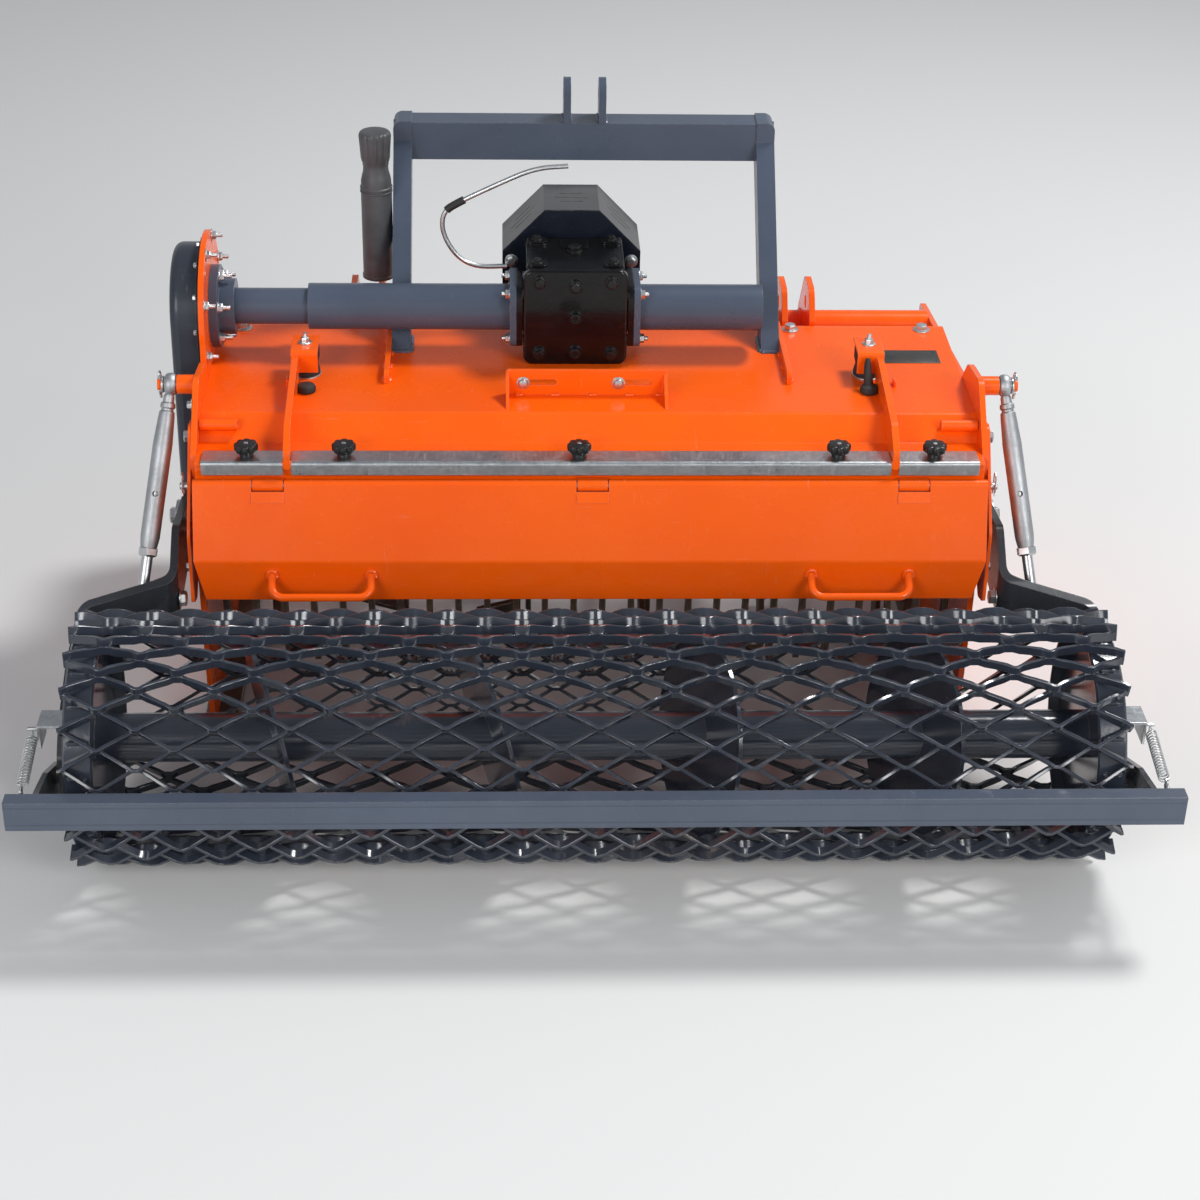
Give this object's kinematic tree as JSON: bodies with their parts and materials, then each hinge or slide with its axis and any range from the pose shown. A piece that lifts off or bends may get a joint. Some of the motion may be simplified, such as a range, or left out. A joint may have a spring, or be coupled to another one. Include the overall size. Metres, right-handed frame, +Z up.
{
  "type": "stone burier",
  "caption": "Tractor-mounted stone burier with a hooded hoe rotor, screening comb, hinged rear door, and a mesh roller with sprung scraper on two adjustable arms.",
  "frame": {"origin": "on the floor under the middle of the whole implement", "axes": "+X to the right seen from behind, +Y forward to the tractor, +Z up"},
  "size_m": [1.656, 1.156, 0.912],
  "materials": {
    "orange_paint": "gloss orange paint, scuffed at edges",
    "blue_grey_paint": "gloss blue-grey paint",
    "guard_grey": "dark grey paint",
    "gearbox_black": "black gloss paint on castings",
    "zinc": "zinc plated and galvanised steel",
    "worn_steel": "dark steel, bright where soil wears it",
    "black_plastic": "black moulded plastic",
    "rubber": "black rubber"
  },
  "bodies": {
    "frame": {"side_plate_left": "orange_paint", "side_plate_right": "orange_paint", "skid_left": "worn_steel", "skid_right": "worn_steel", "hood_panel": "orange_paint", "rear_rail": "orange_paint", "front_tube": "orange_paint", "lower_lugs_left": "orange_paint", "lower_lugs_right": "orange_paint", "mast": "blue_grey_paint", "top_link_ears": "blue_grey_paint", "gearbox_housing": "gearbox_black", "gearbox_rear_cover": "gearbox_black", "gearbox_top_cover": "gearbox_black", "drive_tube_left": "blue_grey_paint", "drive_tube_right": "blue_grey_paint", "drive_hub_flange": "blue_grey_paint", "drive_case": "blue_grey_paint", "rotor_bearing_cap": "blue_grey_paint", "rotor_bearings": "worn_steel", "comb": "worn_steel", "comb_arms": "orange_paint", "comb_buffers": "rubber", "clamp_strips": "zinc", "star_knobs": "black_plastic", "slotted_bracket": "orange_paint", "hood_ribs": "orange_paint", "input_guard": "guard_grey", "canister": "black_plastic", "canister_cap": "black_plastic", "hook_rod": "zinc", "door_hinges": "orange_paint", "side_shield_left": "orange_paint", "side_shield_right": "orange_paint", "turnbuckle_pegs": "orange_paint", "arm_pins": "zinc"},
    "rotor": {"rotor": "worn_steel"},
    "pto": {"pto_shaft": "worn_steel"},
    "door": {"door": "orange_paint", "door_hinge_pins": "zinc", "door_handles": "orange_paint"},
    "arms": {"roller_arm_left": "guard_grey", "roller_arm_right": "guard_grey", "turnbuckle_lugs": "guard_grey", "roller_bearings": "guard_grey", "spring_brackets": "zinc", "scraper_springs": "zinc", "scraper_pins": "zinc"},
    "roller": {"roller_cage": "blue_grey_paint", "roller_core": "blue_grey_paint"},
    "scraper": {"scraper_bar": "blue_grey_paint", "scraper_arms": "guard_grey", "spring_eyes": "zinc"},
    "turnbuckle_left": {"turnbuckle_left": "zinc"},
    "turnbuckle_right": {"turnbuckle_right": "zinc"},
    "turn_rod_left": {"turnbuckle_rod_left": "zinc"},
    "turn_rod_right": {"turnbuckle_rod_right": "zinc"}
  },
  "joints": [
    {"name": "rotor_spin", "type": "hinge", "parent": "frame", "child": "rotor", "pos_m": [0, 0.24, 0.232], "axis": [1, 0, 0], "continuous": true},
    {"name": "pto_spin", "type": "hinge", "parent": "frame", "child": "pto", "pos_m": [-0.02, 0.41, 0.615], "axis": [0, 1, 0], "continuous": true},
    {"name": "door_swing", "type": "hinge", "parent": "frame", "child": "door", "pos_m": [0, -0.093, 0.474], "axis": [-1, 0, 0], "range_deg": [0, 80]},
    {"name": "arm_swing", "type": "hinge", "parent": "frame", "child": "arms", "pos_m": [0, 0.08, 0.33], "axis": [1, 0, 0], "range_deg": [-1.5, 13]},
    {"name": "roller_spin", "type": "hinge", "parent": "arms", "child": "roller", "pos_m": [0, -0.35, 0.19], "axis": [1, 0, 0], "continuous": true},
    {"name": "scraper_swing", "type": "hinge", "parent": "arms", "child": "scraper", "pos_m": [0, -0.394, 0.14], "axis": [1, 0, 0], "range_deg": [0, 8], "stiffness_Nm_per_rad": 400, "springref_deg": -8.59},
    {"name": "turnbuckle_left_swing", "type": "hinge", "parent": "frame", "child": "turnbuckle_left", "pos_m": [-0.646, 0.055, 0.572], "axis": [1, 0, 0], "range_deg": [-0.62, 5.24]},
    {"name": "turn_rod_left_slide", "type": "slide", "parent": "turnbuckle_left", "child": "turn_rod_left", "axis": [-0.1411, -0.4654, -0.8738], "range_m": [-0.00356, 0.02997]},
    {"name": "turnbuckle_right_swing", "type": "hinge", "parent": "frame", "child": "turnbuckle_right", "pos_m": [0.646, 0.055, 0.572], "axis": [1, 0, 0], "range_deg": [-0.62, 5.24]},
    {"name": "turn_rod_right_slide", "type": "slide", "parent": "turnbuckle_right", "child": "turn_rod_right", "axis": [0.1411, -0.4654, -0.8738], "range_m": [-0.00356, 0.02997]}
  ],
  "couplings": [
    {"joint": "pto_spin", "follows": "rotor_spin", "ratio": 2.5},
    {"joint": "turnbuckle_left_swing", "follows": "arm_swing", "ratio": 0.3955},
    {"joint": "turn_rod_left_slide", "follows": "arm_swing", "m_per_rad": 0.1295},
    {"joint": "turnbuckle_right_swing", "follows": "arm_swing", "ratio": 0.3955},
    {"joint": "turn_rod_right_slide", "follows": "arm_swing", "m_per_rad": 0.1295}
  ]
}
